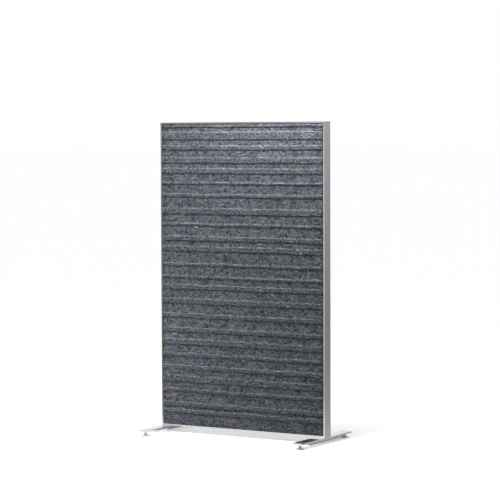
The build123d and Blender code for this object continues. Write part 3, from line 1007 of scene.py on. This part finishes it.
# %% Thread tree
THREAD_WIDTHS = (0.6, 1.4)
THREAD_FLATNESS = 0.6
EDGE_GAP = 0.001            # from the end of a thread to the edge of the felt
FACE_LEAN = 0.4             # a face whose normal points outward by less gets no thread


def random_value(tree, low, high, seed):
    return add(tree, "FunctionNodeRandomValue", low, high, data_type="FLOAT", Seed=seed)


def thread_tree():
    # Density is a square metre's, and the Crest Gain input says how many times more lie on the upper edge of a rib,
    # where they add to its painted highlight.
    tree, given = geometry_tree("scatter_threads", {
        "Density": 3900.0, "Crest Gain": 4.0, "Points": 6, "Shortest": 0.010, "Longest": 0.026,
        "Slenderness": 0.017, "Turn": 0.40, "Tone Low": 0.0, "Tone High": 1.0, "Outward": -1.0, **EXTENT, "Seed": 1,
    })
    x, _, z = position(tree).split()
    outward = add(tree, "GeometryNodeInputNormal").split()[1] * given["Outward"]
    to_ends = (z - given["Low Edge"]).math("MINIMUM", given["High Edge"] - z)
    margin = (given["Half Width"] - abs(x)).math("MINIMUM", to_ends)
    inside = margin > given["Longest"] * 0.5 + EDGE_GAP
    # More threads lie along the painted highlight, which they brighten.
    density = (stored(tree, "crest") * given["Crest Gain"] + 1.0) * given["Density"]
    scatter = add(tree, "GeometryNodeDistributePointsOnFaces", distribute_method="RANDOM", Mesh=given["Geometry"],
                  Selection=(outward > FACE_LEAN) * inside, Density=density, Seed=given["Seed"])
    # Lay each strand along the face, mostly across the screen.
    lay = add(tree, "FunctionNodeAlignRotationToVector", axis="Z", Vector=scatter["Normal"])
    length = random_value(tree, given["Shortest"], given["Longest"], 11)
    width = length * random_value(tree, *THREAD_WIDTHS, 12)
    size = add(tree, "ShaderNodeCombineXYZ", length, width, width * THREAD_FLATNESS)
    laid = add(tree, "GeometryNodeInstanceOnPoints", Points=scatter["Points"], Instance=strand(tree, given),
               Rotation=lay, Scale=size)
    # The sum of two random turns lies near nought more often than far from it.
    turn = (random_value(tree, -1.0, 1.0, 13) + random_value(tree, -1.0, 1.0, 14)) * given["Turn"]
    half_turn = (random_value(tree, 0.0, 1.0, 15) > 0.5) * math.pi
    turning = add(tree, "ShaderNodeCombineXYZ", Z=turn + half_turn)
    turned = add(tree, "GeometryNodeRotateInstances", Instances=laid, Rotation=turning)
    tone = random_value(tree, given["Tone Low"], given["Tone High"], 16)
    close_tree(tree, store(tree, turned, "tone", tone, "INSTANCE"), given)
    return tree


scatter_threads = thread_tree()
print("tree:", scatter_threads.name, len(scatter_threads.nodes), "nodes")

# %% Scatter the threads
SCRAP = {"Density": 6500.0, "Crest_Gain": 5.0, "Points": 4, "Shortest": 0.003, "Longest": 0.009,
         "Slenderness": 0.055, "Turn": 0.7}
THICK = {"Shortest": 0.008, "Longest": 0.018, "Turn": 0.25}
TUFT = {**THICK, "Density": 9.0, "Crest_Gain": 0.0, "Slenderness": 0.09, "Tone_Low": 0.985}
SLUB = {**THICK, "Density": 50.0, "Crest_Gain": 4.0, "Slenderness": 0.075, "Tone_Low": 0.60, "Tone_High": 0.74}


def laid_on(face, piece_name, seed, **values):
    sown = new_object(f"{piece_name}_sown", face.data.copy())
    xs = [vertex.co.x for vertex in face.data.vertices]
    zs = [vertex.co.z for vertex in face.data.vertices]
    piece = grown(sown, scatter_threads, piece_name, Outward=-1.0 if face is front_felt else 1.0,
                  Half_Width=max(xs), Low_Edge=min(zs), High_Edge=max(zs), Seed=seed, Material=threads, **values)
    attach(piece, "screen")
    print(piece_name, sum(len(side.vertices) - 2 for side in piece.data.polygons), "triangles")


for kind, values, front_seed, rear_seed in (
    ("threads", {}, 5, 9), ("scraps", SCRAP, 7, 8), ("tufts", TUFT, 2, 4), ("slubs", SLUB, 3, 6),
):
    laid_on(front_felt, f"front_felt_{kind}", front_seed, **values)
    laid_on(rear_felt, f"rear_felt_{kind}", rear_seed, **values)

# %% [markdown]
# ## Absorber core
#
# Between the two felts the frame holds a soft batt of polyester fleece, which does most of the absorbing. It is
# hidden, but the model can be taken apart, so it is made too: a slab with rounded, slightly crowned faces whose
# points a small tree pushes in and out, as loose fleece is never flat.

# %% Core blank
CORE_ROUNDING = 0.010
CORE_CROWN = 0.003
CORE_CELL = 0.016
CELL_CORNERS = ((0, 0), (1, 0), (1, 1), (0, 1))


def core_blank():
    low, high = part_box("absorber_core")
    middle = (low + high) / 2
    half = (high - low) / 2
    counts = [max(2, round(2 * value / CORE_CELL)) for value in half]
    mesh = bmesh.new()
    corners = {}

    def corner(place):
        if place not in corners:
            share = [2 * number / count - 1 for number, count in zip(place, counts)]
            corners[place] = mesh.verts.new([m + h * s for m, h, s in zip(middle, half, share)])
        return corners[place]

    for axis in range(3):
        one, two = (axis + 1) % 3, (axis + 2) % 3
        for end, i, j in product((0, counts[axis]), range(counts[one]), range(counts[two])):
            ring = [{axis: end, one: i + di, two: j + dj} for di, dj in CELL_CORNERS]
            mesh.faces.new([corner((place[0], place[1], place[2])) for place in ring])
    inner = [value - CORE_ROUNDING for value in half]
    for vertex in mesh.verts:
        offset = vertex.co - middle
        held = Vector([max(-limit, min(limit, value)) for limit, value in zip(inner, offset)])
        crown = 1 - (abs(held.x / half.x) ** 4 + abs(held.z / half.z) ** 4) / 2
        reach = CORE_ROUNDING - CORE_CROWN * (1 - crown)
        outer = (offset - held).normalized() * reach if offset != held else Vector()
        vertex.co = middle + held + outer
    return closed_blank(mesh, "core_blank")


# %% Fleece core
FLEECE_COLOURS = ((0.0, (0.42, 0.43, 0.42)), (0.5, (0.60, 0.61, 0.59)), (1.0, (0.76, 0.76, 0.74)))


def lumps_tree():
    tree, given = geometry_tree("fleece_lumps", {"Lumps": 0.0025, "Seed": 1.0})
    lumps = noise(tree, position(tree), scale=26.0, detail=3.0, noise_dimensions="4D", W=given["Seed"])
    normal = add(tree, "GeometryNodeInputNormal")
    inward = vector_math(tree, "SCALE", normal, Scale=lumps * given["Lumps"] * -1.0)
    smooth = add(tree, "GeometryNodeSetShadeSmooth", Geometry=moved(tree, given["Geometry"], inward))
    close_tree(tree, smooth, given)
    return tree


def fleece_material():
    material, tree, place = new_material("absorber_fleece")
    fibres = placed(tree, melange, place, Grain=420.0, Clouds=30.0)
    pale = ramp(tree, fibres["Grain"], FLEECE_COLOURS)
    principled(tree, Base_Color=multiplied(tree, pale, fibres["Clouds"] + 0.4), Roughness=0.95, Sheen_Weight=0.3,
               Normal=bump(tree, fibres["Grain"], strength=0.8, distance=0.002))
    return material


def fleece_core():
    piece = grown(core_blank(), lumps_tree(), "fleece_core", Seed=2.0, Material=fleece_material())
    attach(piece, "screen")
    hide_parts("absorber_core")
    return piece


core = fleece_core()
print(core.name, len(core.data.vertices), "points")

# %% [markdown]
# ## Threaded studs
#
# Each glide hangs on a stud that screws into the foot, so turning it levels the screen. The construction model
# keeps the stud plain where its thread is. Here the stud is turned as on a lathe, ring above ring, with close rings
# along the thread. A tree then cuts the thread: it lowers each point by where it stands between two turns of the
# helix, which follows from its height and its angle together.

# %% Stud profile
THREAD_PITCH = 0.00125
THREAD_DEPTH = 0.0007
RINGS_A_TURN = 8
STUD_RADIUS = 0.004
NECK_RADIUS = 0.0035
FLANGE_RADIUS = 0.0049
HEX_CORNER_RADIUS = 0.0075
HEX_CHAMFER = 0.0006
NECK_LOW = 0.0020           # heights above the stud's foot
HEX_LOW = 0.0047
HEX_HIGH = 0.0097
TIP_CHAMFER = 0.0008
FLANGE_CHAMFER = 0.0003
RELIEF_DEPTH = 0.0002       # of the neck above the hexagon


def hex_radius(angle, corner_radius):
    # Distance to the side of a hexagon with a corner at angle nought.
    turned = (angle % (math.pi / 3)) - math.pi / 6
    return corner_radius * math.cos(math.pi / 6) / math.cos(turned)


def stud_rings(length):
    # Height, radius and whether the ring is a hexagon, from the foot of the stud up.
    thread_low = HEX_HIGH + THREAD_PITCH / 2
    thread_high = length - TIP_CHAMFER
    count = round((thread_high - thread_low) / THREAD_PITCH * RINGS_A_TURN)
    thread = [(thread_low + (thread_high - thread_low) * n / count, STUD_RADIUS, False) for n in range(count + 1)]
    narrow = HEX_CORNER_RADIUS - HEX_CHAMFER
    return [
        (0.0, FLANGE_RADIUS - FLANGE_CHAMFER, False), (FLANGE_CHAMFER, FLANGE_RADIUS, False),
        (NECK_LOW, FLANGE_RADIUS, False), (NECK_LOW, NECK_RADIUS, False), (HEX_LOW, NECK_RADIUS, False),
        (HEX_LOW, narrow, True), (HEX_LOW + HEX_CHAMFER / 2, HEX_CORNER_RADIUS, True),
        (HEX_HIGH - HEX_CHAMFER / 2, HEX_CORNER_RADIUS, True), (HEX_HIGH, narrow, True),
        (HEX_HIGH, NECK_RADIUS - RELIEF_DEPTH, False), *thread, (length, STUD_RADIUS - TIP_CHAMFER, False),
    ]


# %% Stud blank
STUD_SIDES = 24


def stud_blank(node_name):
    low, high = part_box(node_name)
    middle = (low + high) / 2
    mesh = bmesh.new()
    rings = []
    for height, radius, six_sided in stud_rings(high.z - low.z):
        ring = []
        for number in range(STUD_SIDES):
            angle = 2 * math.pi * number / STUD_SIDES
            reach = hex_radius(angle, radius) if six_sided else radius
            spot = (middle.x + reach * math.cos(angle), middle.y + reach * math.sin(angle), low.z + height)
            ring.append(mesh.verts.new(spot))
        rings.append(ring)
    for lower, upper in zip(rings, rings[1:]):
        for number in range(STUD_SIDES):
            following = (number + 1) % STUD_SIDES
            mesh.faces.new((lower[number], lower[following], upper[following], upper[number]))
    mesh.faces.new(rings[0][::-1])
    mesh.faces.new(rings[-1])
    return closed_blank(mesh, f"{node_name}_blank")


# %% Cut the threads
def cutting_tree():
    tree, given = geometry_tree("cut_thread", {
        "Axis": (0.0, 0.0, 0.0), "Pitch": THREAD_PITCH, "Depth": THREAD_DEPTH, "Thread Low": 0.0,
    })
    x, y, z = vector_math(tree, "SUBTRACT", position(tree), given["Axis"]).split()
    turns = z / given["Pitch"] - y.math("ARCTAN2", x) / (2 * math.pi)
    # A zigzag between nought on the crest and one in the root.
    zigzag = abs(turns.math("FRACT") - 0.5) * 2.0
    outward = vector_math(tree, "NORMALIZE", add(tree, "ShaderNodeCombineXYZ", X=x, Y=y))
    inward = vector_math(tree, "SCALE", outward, Scale=zigzag * given["Depth"] * -1.0)
    close_tree(tree, moved(tree, given["Geometry"], inward, Selection=z > given["Thread Low"]), given)
    return tree


cut_thread = cutting_tree()


def threaded_stud(corner):
    node_name = f"glide_stud_{corner}"
    low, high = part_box(node_name)
    middle = (low + high) / 2
    piece = grown(stud_blank(node_name), cut_thread, f"threaded_stud_{corner}", Axis=(middle.x, middle.y, low.z),
                  Thread_Low=HEX_HIGH + THREAD_PITCH / 4, Material=zinc_metal)
    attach(piece, f"stud_{corner}")
    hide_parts(node_name)
    return piece


studs = [threaded_stud(corner) for corner in CORNERS]
print("studs:", [stud.name for stud in studs])
